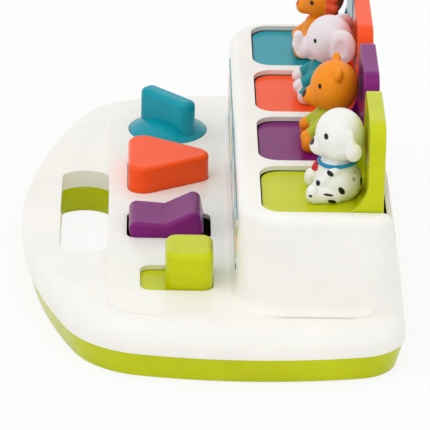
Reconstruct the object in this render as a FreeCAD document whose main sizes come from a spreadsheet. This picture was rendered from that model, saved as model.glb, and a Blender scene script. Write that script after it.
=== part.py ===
"""Pop-up animal toy: a sloping-walled housing with four sprung lids, each carrying an
animal figure, and four controls on the front deck that release them.

Frame: X along the row of lids, Y from the carrying handle (front) to the lids (back),
Z up. The origin is the middle of the footprint, on the surface the toy stands on.
"""
import FreeCAD, Part
import math
import os

Vector = FreeCAD.Vector
Rotation = FreeCAD.Rotation
Placement = FreeCAD.Placement

doc = FreeCAD.newDocument("PopUpToy")

SIZES = {
    # base outline, measured at the parting line
    "base_width": 314.0, "base_depth": 198.2, "front_arc": 307.0, "corner_arc": 50.0,
    "side_arc": 300.0, "rear_corner_arc": 27.0, "rear_arc": 6000.0, "side_arc_y": 21.0,
    "tray_taper": 3.8, "parting_step": 0.5,
    # heights
    "foot_lift": 0.8, "parting_z": 14.8, "rim_z": 30.4, "deck_z": 31.0, "roof_z": 81.5,
    "wall": 2.5, "rim_round": 14.0,
    # raised control panel
    "panel_side": 17.5, "panel_front": 45.6, "panel_corner": 20.0,
    # housing block
    "block_side_top": 25.0, "block_side_foot": 21.5, "block_front": 87.1,
    "block_rear_top": 10.6, "block_rear_foot": 1.9, "block_foot_z": 20.0,
    "block_front_corner": 24.0, "block_rear_corner": 9.0, "block_rear_foot_corner": 18.0,
    "roof_round": 5.5, "block_margin": 0.6, "flare": 4.5,
    # carrying handle
    "handle_front": 20.7, "handle_rear": 45.9, "handle_half": 47.0,
    "handle_bulge": 5.5, "handle_bow": 0.5, "handle_corner": 5.0, "grip_z": 22.5, "grip_half": 105.0,
    # windows and lids
    "pitch": 64.0, "window_width": 57.0, "window_front": 75.6, "window_corner": 10.0,
    "lid_gap": 0.6, "lid_face": 14.9, "lid_inset": 7.1, "lid_tip_gap": 0.9,
    "lid_thickness": 8.0, "plate_recess": 2.8, "plate_thickness": 2.5,
    "web_reach": 12.0, "web_height": 24.0, "web_bow": 0.3, "web_thickness": 2.2,
    # rods
    "rod_radius": 1.5, "rod_clearance": 0.05, "lever_rod_rear": 78.1, "lever_rod_z": 18.0,
    # inner frame
    "frame_plate": 4.0, "frame_side_plate": 3.0, "frame_beam": 3.0, "frame_front": 83.6,
    "frame_rear": 16.1, "frame_beam_width": 8.0, "frame_rail_low": 40.0, "frame_rail_high": 52.0, "frame_gap": 0.4,
    # controls
    "control_front": 33.6, "control_gap": 0.4, "flange_lip": 1.8, "flange_thickness": 2.6,
    "flange_drop": 0.3,
    "knob_radius": 21.2, "knob_dome": 6.5, "fin_height": 21.0, "fin_length": 36.0,
    "fin_thickness": 10.5, "fin_angle": 45.0, "spindle_radius": 5.0,
    "cam_radius": 13.0, "cam_thickness": 3.0, "peg_offset": 9.0, "peg_radius": 2.0,
    "peg_length": 4.0,
    "button_centres": 18.0, "button_corner": 8.0, "button_height": 14.2, "button_round": 2.5,
    "stem_radius": 4.0, "stem_back": 2.4,
    "rocker_width": 31.0, "rocker_half": 19.0, "rocker_valley": 11.0, "rocker_wing": 16.2,
    "rocker_skirt": 3.0, "rocker_tilt": 11.0, "rocker_pin_z": 27.0, "rocker_slot_half": 22.0,
    "rocker_hub": 3.2, "rocker_rib": 7.8, "rocker_rib_y": 6.0, "rocker_round": 2.5,
    "lug_gap": 0.6, "lug_width": 3.5, "lug_half": 4.0,
    "slot_front": 15.0, "slot_rear": 22.4, "slot_half": 15.0, "slot_corner": 6.0,
    "slider_length": 24.2, "slider_height": 19.0, "slider_plate": 2.2, "slider_round": 3.0,
    "slider_lap": 2.2,
    # release levers
    "lever_width": 6.0, "lever_arm": 4.5, "lever_reach": 11.4, "lever_post": 3.2,
    "lever_top_z": 76.0, "lever_hub": 4.0,
    # figures
    "body_radius": 13.6, "body_rear": 37.3, "head_radius": 13.4, "head_rear": 36.9, "head_z": 111.4,
    "neck_z": 98.5, "paw_radius": 4.6,
    # springs and fasteners
    "spring_radius": 3.5, "spring_wire": 0.8, "spring_aside": 13.0, "spring_ahead": 8.0, "lid_spring_length": 7.0, "lid_spring_radius": 4.6, "lid_spring_wall": 1.4,
    "boss_radius": 4.5, "boss_side": 15.5, "boss_rear": 44.0, "boss_mid_side": 18.0,
    "boss_mid_rear": 121.0, "boss_front_side": 51.0, "boss_front": 31.0, "screw_radius": 1.5, "screw_head": 3.0, "screw_head_height": 2.2,
    "pad_radius": 8.0, "pad_thickness": 1.2, "pad_rear_side": 39.0, "pad_rear": 21.0,
    "pad_front_side": 36.0, "pad_front": 48.0,
    # front label
    "label_side": 28.0, "label_low_z": 37.0, "label_high_z": 73.0, "label_thickness": 0.4,
    "label_corner": 8.0,
}

sheet = doc.addObject("Spreadsheet::Sheet", "Sizes")
for row, (alias, value) in enumerate(SIZES.items(), start=1):
    sheet.set("A%d" % row, alias)
    sheet.set("B%d" % row, str(value))
    sheet.setAlias("B%d" % row, alias)
doc.recompute()


def size(name):
    """Return one size from the sheet, in millimetres or degrees."""
    return float(getattr(sheet, name))


nodes = []

REAR_Y = size("base_depth") / 2
FRONT_Y = -REAR_Y
SIDE_X = size("base_width") / 2
BLOCK_HALF_TOP = SIDE_X - size("block_side_top")
BLOCK_HALF_FOOT = SIDE_X - size("block_side_foot")
BLOCK_FRONT_Y = REAR_Y - size("block_front")
BLOCK_REAR_Y = REAR_Y - size("block_rear_foot")
PANEL_HALF = SIDE_X - size("panel_side")
PANEL_FRONT_Y = FRONT_Y + size("panel_front")
HANDLE_FRONT_Y = FRONT_Y + size("handle_front")
HANDLE_REAR_Y = FRONT_Y + size("handle_rear")
WINDOW_FRONT_Y = REAR_Y - size("window_front")
LID_FACE_Y = REAR_Y - size("lid_face")
LEVER_ROD_Y = REAR_Y - size("lever_rod_rear")
FRAME_FRONT_Y = REAR_Y - size("frame_front")
FRAME_REAR_Y = REAR_Y - size("frame_rear")
CONTROL_Y = BLOCK_FRONT_Y - size("control_front")
STEM_Y = CONTROL_Y - size("stem_back")
SLOT_FRONT_Y = CONTROL_Y - size("slot_front")
SLOT_REAR_Y = CONTROL_Y + size("slot_rear")
BODY_Y = REAR_Y - size("body_rear")
HEAD_Y = REAR_Y - size("head_rear")
FIGURES = ["lion", "elephant", "bear", "dog"]
ROW_X = [size("pitch") * (index - 1.5) for index in range(len(FIGURES))]
KNOB_X, BUTTON_X, ROCKER_X, SLIDER_X = ROW_X
HINGE_Y = LID_FACE_Y - size("lid_inset")
HINGE_Z = size("roof_z") - size("lid_inset")
HINGE_Y_TEXT = "Sizes.base_depth / 2 - Sizes.lid_face - Sizes.lid_inset"
HINGE_Z_TEXT = "Sizes.roof_z - Sizes.lid_inset"
LID_REACH = HINGE_Y - WINDOW_FRONT_Y - size("lid_tip_gap")
LID_HALF = size("window_width") / 2 - size("lid_gap")
PLATE_TOP_Z = size("roof_z") - size("plate_recess")
FLOOR_Z = size("foot_lift") + size("wall")
UNDER_DECK_Z = size("deck_z") - size("wall")
FLANGE_TOP_Z = UNDER_DECK_Z - size("flange_drop")
ARM_TOP_Z = size("lever_rod_z") + size("lever_arm") / 2


def add(label, shape):
    """Keep a free-form piece as an object of the document."""
    piece = doc.addObject("Part::Feature", label)
    piece.Shape = shape
    keep(piece, label)


def bind(target, **expressions):
    """Tie properties of an object to the sheet."""
    for name, expression in expressions.items():
        target.setExpression(name, expression)


def bound(kind, name, at, along_x=False, **expressions):
    """Make a Part primitive whose sizes and place are expressions on the sheet."""
    solid = doc.addObject("Part::" + kind, name)
    if along_x:
        solid.Placement = Placement(Vector(0, 0, 0), Rotation(Vector(0, 1, 0), 90))
    bind(solid, **expressions)
    for axis, expression in zip("xyz", at):
        solid.setExpression("Placement.Base." + axis, expression)
    return solid


def keep(piece, label):
    """Count an object of the document as one of the toy's pieces."""
    piece.Label = label
    nodes.append(piece)


def bound_rod(label, half_length, y, z):
    """Keep a steel rod along X, its half length and place given as expressions."""
    place = ("-(%s)" % half_length, y, z)
    keep(bound("Cylinder", label, place, True, Radius="Sizes.rod_radius", Height="2 * (%s)" % half_length), label)


def bound_sleeve(label, at, along_x, radius, wall, length):
    """Keep a spring's plain sleeve as the cut of two cylinders bound to the sheet."""
    outer = bound("Cylinder", label + "_outer", at, along_x, Radius=radius, Height=length)
    inner = bound("Cylinder", label + "_inner", at, along_x, Radius="%s - %s" % (radius, wall), Height=length)
    cut = doc.addObject("Part::Cut", label)
    cut.Base = outer
    cut.Tool = inner
    keep(cut, label)


def box(x0, x1, y0, y1, z0, z1):
    """Return a box between two corners."""
    return Part.makeBox(x1 - x0, y1 - y0, z1 - z0, Vector(x0, y0, z0))


def rod(x0, x1, y, z, radius):
    """Return a cylinder along X."""
    return Part.makeCylinder(radius, x1 - x0, Vector(x0, y, z), Vector(1, 0, 0))


def post(x, y, z0, z1, radius):
    """Return a cylinder along Z."""
    return Part.makeCylinder(radius, z1 - z0, Vector(x, y, z0))


def circle_meet(first, first_radius, second, second_radius, outward):
    """Return the meeting point of two circles that lies furthest along outward."""
    gap = second - first
    reach = gap.Length
    along = (first_radius ** 2 - second_radius ** 2 + reach ** 2) / (2 * reach)
    aside = math.sqrt(first_radius ** 2 - along ** 2)
    unit = gap.normalize()
    normal = Vector(-unit.y, unit.x, 0)
    points = [first + unit * along + normal * (aside * sign) for sign in (1, -1)]
    return max(points, key=lambda point: point.dot(outward))


def base_outline(inset, z):
    """Return the closed outline of the base as eight tangent arcs, moved in by inset."""
    front_y = -size("base_depth") / 2
    rear_y = size("base_depth") / 2
    front_centre = Vector(0, front_y + size("front_arc"), 0)
    rear_centre = Vector(0, rear_y - size("rear_arc"), 0)
    side_centre = Vector(size("base_width") / 2 - size("side_arc"), size("side_arc_y"), 0)
    corner = circle_meet(front_centre, size("front_arc") - size("corner_arc"),
                         side_centre, size("side_arc") - size("corner_arc"), Vector(1, -1, 0))
    rear = circle_meet(rear_centre, size("rear_arc") - size("rear_corner_arc"),
                       side_centre, size("side_arc") - size("rear_corner_arc"), Vector(1, 1, 0))

    def on(centre, toward, radius):
        """Return the point of an inset arc in the direction of another centre."""
        return centre + (toward - centre).normalize() * (radius - inset)

    front_join = on(front_centre, corner, size("front_arc"))
    side_low = on(side_centre, corner, size("side_arc"))
    side_high = on(side_centre, rear, size("side_arc"))
    rear_join = on(rear_centre, rear, size("rear_arc"))
    corner_mid = corner + (front_join + side_low - corner * 2).normalize() * (size("corner_arc") - inset)
    rear_mid = rear + (rear_join + side_high - rear * 2).normalize() * (size("rear_corner_arc") - inset)
    side_mid = side_centre + Vector(size("side_arc") - inset, 0, 0)

    def flip(point):
        """Return the mirror image of a point across the middle."""
        return Vector(-point.x, point.y, 0)

    arcs = [
        (flip(front_join), Vector(0, front_y + inset, 0), front_join),
        (front_join, corner_mid, side_low),
        (side_low, side_mid, side_high),
        (side_high, rear_mid, rear_join),
        (rear_join, Vector(0, rear_y - inset, 0), flip(rear_join)),
        (flip(rear_join), flip(rear_mid), flip(side_high)),
        (flip(side_high), flip(side_mid), flip(side_low)),
        (flip(side_low), flip(corner_mid), flip(front_join)),
    ]
    lift = Vector(0, 0, z)
    return Part.Wire([Part.Arc(*[point + lift for point in arc]).toShape() for arc in arcs])


def rounded_rectangle(x0, x1, y0, y1, radii, z):
    """Return a rectangle in the XY plane with four corner radii, from the front left."""
    corners = [Vector(x0, y0, z), Vector(x1, y0, z), Vector(x1, y1, z), Vector(x0, y1, z)]
    edges = []
    starts = []
    ends = []
    for index, corner in enumerate(corners):
        before = (corners[index - 1] - corner).normalize()
        after = (corners[(index + 1) % 4] - corner).normalize()
        radius = radii[index]
        centre = corner + before * radius + after * radius
        middle = centre - (before + after).normalize() * radius
        starts.append(corner + before * radius)
        ends.append(corner + after * radius)
        edges.append(Part.Arc(starts[-1], middle, ends[-1]).toShape())
    wire = []
    for index in range(4):
        wire.append(edges[index])
        wire.append(Part.LineSegment(ends[index], starts[(index + 1) % 4]).toShape())
    return Part.Wire(wire)


def prism(wire, height):
    """Return the solid over a flat wire."""
    return Part.Face(wire).extrude(Vector(0, 0, height))


def edges_at(shape, z, tolerance=0.01):
    """Return the edges of a shape that lie flat at one height."""
    return [edge for edge in shape.Edges
            if abs(edge.BoundBox.ZMin - z) < tolerance and abs(edge.BoundBox.ZMax - z) < tolerance]


def base_slab(inset, top_z, low_z):
    """Return the rounded slab of the base, moved in by inset."""
    slab = prism(base_outline(inset, low_z), top_z - low_z)
    return slab.makeFillet(size("rim_round") - inset, edges_at(slab, top_z))


def block(inset, top_z, low_z):
    """Return the raised block under the lids, moved in by inset."""
    def section(z):
        """Return the block's outline at one height."""
        blend = (z - size("block_foot_z")) / (size("roof_z") - size("block_foot_z"))
        half = BLOCK_HALF_FOOT + (BLOCK_HALF_TOP - BLOCK_HALF_FOOT) * blend
        rear = BLOCK_REAR_Y + ((REAR_Y - size("block_rear_top")) - BLOCK_REAR_Y) * blend
        foot_corner = size("block_rear_foot_corner")
        rear_corner = foot_corner + (size("block_rear_corner") - foot_corner) * blend
        front_corner = size("block_front_corner")
        radii = [front_corner - inset] * 2 + [rear_corner - inset] * 2
        return rounded_rectangle(-half + inset, half - inset, BLOCK_FRONT_Y + inset,
                                 rear - inset, radii, z)

    return Part.makeLoft([section(low_z), section(top_z)], True, True)


def foot_flare():
    """Return the concave blend round the block's foot as a few thin lofted bands."""
    reach, deck, steps = size("flare"), size("deck_z"), 4
    angles = [math.pi / 2 * step / steps for step in range(steps + 1)]
    levels = [(reach * (1 - math.sin(angle)), deck + reach * (1 - math.cos(angle))) for angle in angles]
    bands = []
    for (low_grow, low_z), (high_grow, high_z) in zip(levels, levels[1:]):
        sections = [rounded_rectangle(-BLOCK_HALF_FOOT - grow, BLOCK_HALF_FOOT + grow,
                                      BLOCK_FRONT_Y - grow, BLOCK_REAR_Y - 1,
                                      [size("block_front_corner") + grow] * 2 + [2, 2], z)
                    for grow, z in ((low_grow, low_z), (high_grow, high_z))]
        bands.append(Part.makeLoft(sections, True, True))
    return bands


def grip_scoop(drop):
    """Return the shallow saddle that lowers the carrying bar, moved down by drop."""
    rise = size("rim_z") - size("grip_z")
    radius = (size("grip_half") ** 2 + rise ** 2) / (2 * rise)
    rear = PANEL_FRONT_Y + drop
    length = size("base_depth")
    return Part.makeCylinder(radius, length, Vector(0, rear, size("grip_z") - drop + radius), Vector(0, -1, 0))


def handle_prism(grow, z0, z1):
    """Return the handle's opening as a solid, moved out by grow."""
    half = size("handle_half") + grow
    front = HANDLE_FRONT_Y - grow
    rear = HANDLE_REAR_Y + grow
    middle = (front + rear) / 2
    left_front, right_front = Vector(-half, front, z0), Vector(half, front, z0)
    left_rear, right_rear = Vector(-half, rear, z0), Vector(half, rear, z0)
    bulge = half + size("handle_bulge")
    bow = Vector(0, front - size("handle_bow"), z0)
    wire = Part.Wire([
        Part.Arc(left_front, bow, right_front).toShape(),
        Part.Arc(right_front, Vector(bulge, middle, z0), right_rear).toShape(),
        Part.LineSegment(right_rear, left_rear).toShape(),
        Part.Arc(left_rear, Vector(-bulge, middle, z0), left_front).toShape(),
    ])
    solid = prism(wire, z1 - z0)
    upright = [edge for edge in solid.Edges if edge.BoundBox.ZLength > (z1 - z0) * 0.9]
    return solid.makeFillet(size("handle_corner") + grow, upright)


def mirrored(*places):
    """Return places on the +X side together with their mirror images."""
    return [(side * x, y) for side in (-1, 1) for x, y in places]


BOSS_PLACES = mirrored((SIDE_X - size("boss_side"), REAR_Y - size("boss_rear")),
                       (SIDE_X - size("boss_mid_side"), REAR_Y - size("boss_mid_rear")),
                       (SIDE_X - size("boss_front_side"), FRONT_Y + size("boss_front")))
PAD_PLACES = mirrored((SIDE_X - size("pad_rear_side"), REAR_Y - size("pad_rear")),
                      (SIDE_X - size("pad_front_side"), FRONT_Y + size("pad_front")))


def control_hole(index, grow, z0, z1):
    """Return the opening in the deck for one control as a solid."""
    y = CONTROL_Y
    if index == 0:
        return post(KNOB_X, y, z0, z1, size("knob_radius") + size("control_gap") + grow)
    if index == 1:
        return triangle(size("control_gap") + grow, z0, z1)
    if index == 2:
        half = size("rocker_width") / 2 + size("control_gap") + grow
        reach = size("rocker_slot_half") + grow
        outline = rounded_rectangle(ROCKER_X - half, ROCKER_X + half, y - reach, y + reach,
                                    [size("slot_corner") - 1 + grow] * 4, z0)
        return prism(outline, z1 - z0)
    half = size("slot_half") + grow
    outline = rounded_rectangle(SLIDER_X - half, SLIDER_X + half, SLOT_FRONT_Y - grow,
                                SLOT_REAR_Y + grow, [size("slot_corner") + grow] * 4, z0)
    return prism(outline, z1 - z0)


def triangle(grow, z0, z1):
    """Return the push button's rounded triangle, its point towards the lids."""
    radius = size("button_corner")
    inner = size("button_centres")
    centre = Vector(BUTTON_X, CONTROL_Y, z0)
    shift = Vector(0, -inner / 4, 0)
    directions = [Vector(math.cos(math.radians(a)), math.sin(math.radians(a)), 0) for a in (-30, 90, 210)]
    centres = [centre + shift + direction * inner for direction in directions]
    reach = radius + grow
    edges = []
    for index, direction in enumerate(directions):
        before = Rotation(Vector(0, 0, 1), -60).multVec(direction)
        after = Rotation(Vector(0, 0, 1), 60).multVec(direction)
        start, middle, end = [centres[index] + side_way * reach for side_way in (before, direction, after)]
        edges.append(Part.Arc(start, middle, end).toShape())
        following = centres[(index + 1) % 3] + after * reach
        edges.append(Part.LineSegment(end, following).toShape())
    return prism(Part.Wire(edges), z1 - z0)


def make_top_housing():
    """The white upper moulding: base rim, control panel, raised block, windows and handle."""
    parting, rim, roof = size("parting_z"), size("rim_z"), size("roof_z")
    wall, deck = size("wall"), size("deck_z")
    slab = base_slab(0, rim, parting).cut(grip_scoop(0))
    slab = slab.cut(handle_prism(0, parting - 1, deck + 1))
    panel_half = PANEL_HALF
    panel = prism(rounded_rectangle(-panel_half, panel_half, PANEL_FRONT_Y,
                                    BLOCK_REAR_Y - 2, [size("panel_corner")] * 4,
                                    rim - wall), deck - rim + wall)
    panel = panel.makeFillet((deck - rim) * 0.9, edges_at(panel, deck))
    panel = panel.cut(handle_prism(0, parting, deck + 1))
    tower = block(0, roof, parting + wall)
    tower = tower.makeFillet(size("roof_round"), edges_at(tower, roof))
    tower = tower.common(prism(base_outline(size("block_margin"), parting), roof))
    deck_limit = prism(base_outline(size("rim_round") - 1, parting), roof)
    raised = [piece.common(deck_limit) for piece in [panel] + foot_flare()]
    outer = slab.multiFuse([tower] + raised).removeSplitter()
    inner_slab = base_slab(wall, rim - wall, parting - 1).cut(
        [handle_prism(wall, parting - 2, rim), grip_scoop(wall)])
    inner_panel = box(-panel_half + 6, panel_half - 6, HANDLE_REAR_Y + wall, 60,
                      rim - wall - 1, UNDER_DECK_Z)
    inner_tower = block(wall, roof - wall, parting - 1)
    inner_tower = inner_tower.common(prism(base_outline(size("block_margin") + wall, parting - 2), roof))
    shell = outer.cut([inner_slab, inner_panel, inner_tower])
    shell = shell.multiFuse(housing_bosses() + rocker_bearings())
    shell = shell.cut([window(x) for x in ROW_X])
    shell = shell.cut([control_hole(index, 0, UNDER_DECK_Z - 4, deck + 1) for index in range(3)])
    shell = shell.cut(control_hole(3, 0, UNDER_DECK_Z - 4, deck + 1))
    shell = shell.cut([post(x, y, parting - 1, parting + 9, size("screw_radius")) for x, y in BOSS_PLACES])
    return shell.removeSplitter()


def window(x):
    """Return the opening over one figure, cut through the roof and the rear edge."""
    half = size("window_width") / 2
    rear = BLOCK_REAR_Y + 5
    low = HINGE_Z - size("lid_inset") - size("lid_gap")
    corner = size("window_corner")
    roof_hole = prism(rounded_rectangle(x - half, x + half, WINDOW_FRONT_Y, rear,
                                        [corner, corner, 1, 1], size("roof_z") - size("wall") - 1),
                      size("wall") + 5)
    rear_notch = box(x - half, x + half, HINGE_Y + 2, rear, low, size("roof_z") + 1)
    return roof_hole.fuse(rear_notch)


def housing_bosses():
    """Return the screw posts that hang under the rim."""
    parting, rim, wall = size("parting_z"), size("rim_z"), size("wall")
    return [post(x, y, parting, rim - wall / 2, size("boss_radius")) for x, y in BOSS_PLACES]


def rocker_bearings():
    """Return the two lugs under the deck that carry the rocker's pin."""
    lugs = []
    pin_z = size("rocker_pin_z")
    inner = size("rocker_width") / 2 + size("control_gap") + size("lug_gap")
    half, bore = size("lug_half"), size("rod_radius")
    for side in (-1, 1):
        near, far = sorted([ROCKER_X + side * inner, ROCKER_X + side * (inner + size("lug_width"))])
        lug = box(near, far, CONTROL_Y - half, CONTROL_Y + half, pin_z - half, UNDER_DECK_Z + 0.5)
        lugs.append(lug.cut(rod(near - 1, far + 1, CONTROL_Y, pin_z, bore)))
    return lugs


def make_bottom_tray():
    """The green lower moulding: tapered skirt, floor, handle wall and screw posts."""
    low, top, wall = size("foot_lift"), size("parting_z"), size("wall")
    step, taper = size("parting_step"), size("tray_taper")
    outer = Part.makeLoft([base_outline(step + taper, low), base_outline(step, top)], True, True)
    floor_inset = step + taper * (top - FLOOR_Z) / (top - low) + wall
    inner = Part.makeLoft([base_outline(floor_inset, FLOOR_Z),
                           base_outline(step + wall - taper / (top - low), top + 1)], True, True)
    tray = outer.cut(inner)
    collar = handle_prism(wall, low, top)
    posts = [post(x, y, low, top, size("boss_radius")) for x, y in BOSS_PLACES]
    tray = tray.fuse([collar] + posts)
    tray = tray.cut(handle_prism(0, low - 1, top + 1))
    head_z = low + size("screw_head_height") + 3
    for x, y in BOSS_PLACES:
        tray = tray.cut([post(x, y, low - 1, head_z, size("screw_head") + 0.3),
                         post(x, y, low - 1, top + 1, size("screw_radius") + 0.2)])
    for x, y in PAD_PLACES:
        tray = tray.cut(post(x, y, low - 1, size("pad_thickness"), size("pad_radius") + 0.1))
    return tray.removeSplitter()


def plate_centres():
    """Return the X of each upright plate of the inner frame with its thickness."""
    side = ROW_X[-1] + LID_HALF + size("frame_gap") + size("frame_side_plate") / 2
    middle = [(ROW_X[index] + ROW_X[index + 1]) / 2 for index in range(len(ROW_X) - 1)]
    return ([(-side, size("frame_side_plate"))] + [(x, size("frame_plate")) for x in middle]
            + [(side, size("frame_side_plate"))])


def make_mechanism_frame():
    """The grey inner frame: five plates that carry both rods, joined by three beams."""
    front, rear = FRAME_FRONT_Y, FRAME_REAR_Y
    top = size("roof_z") - size("wall") - 0.3
    profile = [(front, FLOOR_Z), (rear, FLOOR_Z), (rear, top), (HINGE_Y - 7, top),
               (HINGE_Y - 12, top - 22), (front + 22, size("lever_rod_z") + 14),
               (front, size("lever_rod_z") + 10)]
    pieces = []
    for x, thickness in plate_centres():
        points = [Vector(x - thickness / 2, y, z) for y, z in profile]
        face = Part.Face(Part.makePolygon(points + points[:1]))
        pieces.append(face.extrude(Vector(thickness, 0, 0)))
    reach = plate_centres()[-1][0]
    beam = size("frame_beam")
    width = size("frame_beam_width")
    pieces.append(box(-reach, reach, front, front + width, FLOOR_Z, FLOOR_Z + beam))
    pieces.append(box(-reach, reach, rear - width, rear, FLOOR_Z, FLOOR_Z + beam))
    pieces.append(box(-reach, reach, rear - beam, rear, size("frame_rail_low"), size("frame_rail_high")))
    frame = pieces[0].multiFuse(pieces[1:])
    holes = [rod(-reach - 5, reach + 5, HINGE_Y, HINGE_Z, size("rod_radius")),
             rod(-reach - 5, reach + 5, LEVER_ROD_Y, size("lever_rod_z"), size("rod_radius"))]
    holes += [post(x, y, FLOOR_Z - 1, FLOOR_Z + beam + 1, size("screw_radius")) for x, y in FRAME_SCREWS]
    return frame.cut(holes).removeSplitter()


FRAME_SCREWS = [(x, y) for x in (ROW_X[0] - 14, ROW_X[3] + 14)
                for y in (FRAME_FRONT_Y + size("frame_beam_width") / 2,
                          FRAME_REAR_Y - size("frame_beam_width") / 2)]


def screw(x, y, z, length, head_up=False):
    """Return a screw whose head rests at height z, its shank pointing away from the head."""
    way = -1 if head_up else 1
    head = Part.makeCylinder(size("screw_head"), size("screw_head_height"), Vector(x, y, z),
                             Vector(0, 0, -way))
    shank = Part.makeCylinder(size("screw_radius"), length, Vector(x, y, z), Vector(0, 0, way))
    slot = box(x - size("screw_head"), x + size("screw_head"), y - 0.4, y + 0.4,
               z - way * size("screw_head_height") - 0.6, z - way * size("screw_head_height") + 0.6)
    return head.fuse(shank).cut(slot)


def lid_web(near_x, inner_y):
    """Return the curved gusset between a lid's leaf and its plate, starting at near_x."""
    reach, height, bow = size("web_reach"), size("web_height"), size("web_bow")
    low, sink = PLATE_TOP_Z, size("plate_thickness") / 2
    top = Vector(near_x, inner_y, low + height)
    middle = Vector(near_x, inner_y - reach * bow, low + height * bow)
    tip = Vector(near_x, inner_y - reach, low)
    corner = Vector(near_x, inner_y + sink, low - sink)
    outline = [Part.Arc(top, middle, tip).toShape(),
               Part.LineSegment(tip, Vector(near_x, inner_y - reach, low - sink)).toShape(),
               Part.LineSegment(Vector(near_x, inner_y - reach, low - sink), corner).toShape(),
               Part.LineSegment(corner, Vector(near_x, inner_y + sink, low + height)).toShape(),
               Part.LineSegment(Vector(near_x, inner_y + sink, low + height), top).toShape()]
    return Part.Face(Part.Wire(outline)).extrude(Vector(size("web_thickness"), 0, 0))


def make_lid(x):
    """One lid: upright leaf, knuckle round the hinge rod, figure plate and two side webs."""
    half = LID_HALF
    inner_y = LID_FACE_Y - size("lid_thickness")
    top = HINGE_Z + LID_REACH
    leaf = box(x - half, x + half, inner_y, LID_FACE_Y, HINGE_Z, top)
    ends = [edge for edge in leaf.Edges
            if edge.BoundBox.YLength > size("lid_thickness") * 0.9 and edge.BoundBox.ZMin > top - 1]
    leaf = leaf.makeFillet(size("window_corner"), ends)
    rim = [edge for edge in leaf.Edges if edge.BoundBox.YLength < 0.01 and edge.BoundBox.ZMax > HINGE_Z + 1]
    leaf = leaf.makeFillet(0.8, rim)
    knuckle = rod(x - half, x + half, HINGE_Y, HINGE_Z, size("lid_inset"))
    front = HINGE_Y - LID_REACH
    plate = prism(rounded_rectangle(x - half, x + half, front, HINGE_Y + 2,
                                    [size("window_corner"), size("window_corner"), 1, 1],
                                    PLATE_TOP_Z - size("plate_thickness")), size("plate_thickness"))
    plate = plate.cut(rod(x - half - 1, x + half + 1, HINGE_Y, HINGE_Z, 4))
    webs = [lid_web(near, inner_y) for near in (x - half, x + half - size("web_thickness"))]
    lid = leaf.multiFuse([knuckle, plate] + webs)
    bore = size("rod_radius") + size("rod_clearance")
    spring_space = size("lid_spring_length") + 1
    pocket = rod(x - spring_space / 2, x + spring_space / 2, HINGE_Y, HINGE_Z, size("lid_spring_radius") + 0.6)
    mouth = box(x - spring_space / 2, x + spring_space / 2, HINGE_Y - 5, HINGE_Y + 3,
                HINGE_Z - size("lid_inset") - 1, HINGE_Z)
    screw_hole = post(x, BODY_Y, PLATE_TOP_Z - 5, PLATE_TOP_Z + 1, size("screw_radius"))
    lid = lid.cut([rod(x - half - 1, x + half + 1, HINGE_Y, HINGE_Z, bore), pocket, mouth, screw_hole])
    return lid.removeSplitter()


def capsule(start, end, radius, end_radius=None):
    """Return a limb: a cone with a ball at each end."""
    end_radius = end_radius or radius
    way = end - start
    if abs(radius - end_radius) < 0.01:
        shaft = Part.makeCylinder(radius, way.Length, start, way)
    else:
        shaft = Part.makeCone(radius, end_radius, way.Length, start, way)
    balls = [Part.makeSphere(radius, start), Part.makeSphere(end_radius, end)]
    return shaft.multiFuse(balls)


def ball(x, y, z, radius):
    """Return a sphere."""
    return Part.makeSphere(radius, Vector(x, y, z))


def make_body(x, name):
    """A seated figure's trunk, arms and legs, cut flat on the plate, without its head."""
    y, floor = BODY_Y, PLATE_TOP_Z
    radius = size("body_radius")
    trunk = [ball(x, y, floor + 9.5, radius),
             Part.makeCone(radius * 0.94, 8.0, size("neck_z") - floor - 12, Vector(x, y, floor + 14))]
    paw = size("paw_radius")
    for side in (-1, 1):
        leg_tip = Vector(x + side * 10.5, y - 15.5, floor + paw - 0.4)
        trunk.append(capsule(Vector(x + side * 7.5, y - 2, floor + 6), leg_tip, paw + 1, paw))
        shoulder = Vector(x + side * 8.5, y - 2, size("neck_z") - 4)
        hand = {"dog": Vector(x + side * 6.0, y - 13.0, floor + 7.5),
                "bear": Vector(x + side * 11.0, y - 13.5, floor + 12.5),
                "elephant": Vector(x + side * 11.5, y - 15.5, floor + 10.5),
                "lion": Vector(x + side * 8.5, y - 13.5, floor + 9.0)}[name]
        trunk.append(capsule(shoulder, hand, paw - 0.4, paw - 0.8))
    body = trunk[0].multiFuse(trunk[1:])
    lid_face = LID_FACE_Y - size("lid_thickness") - 0.3
    body = body.common(box(x - 30, x + 30, y - 40, lid_face, floor, size("head_z")))
    screw_hole = post(x, y, floor - 1, floor + 9, size("screw_radius"))
    return body.cut([head_mass(x), screw_hole])


def head_mass(x):
    """Return the round mass of a head that sits in the neck."""
    return ball(x, HEAD_Y, size("head_z"), size("head_radius"))


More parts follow.
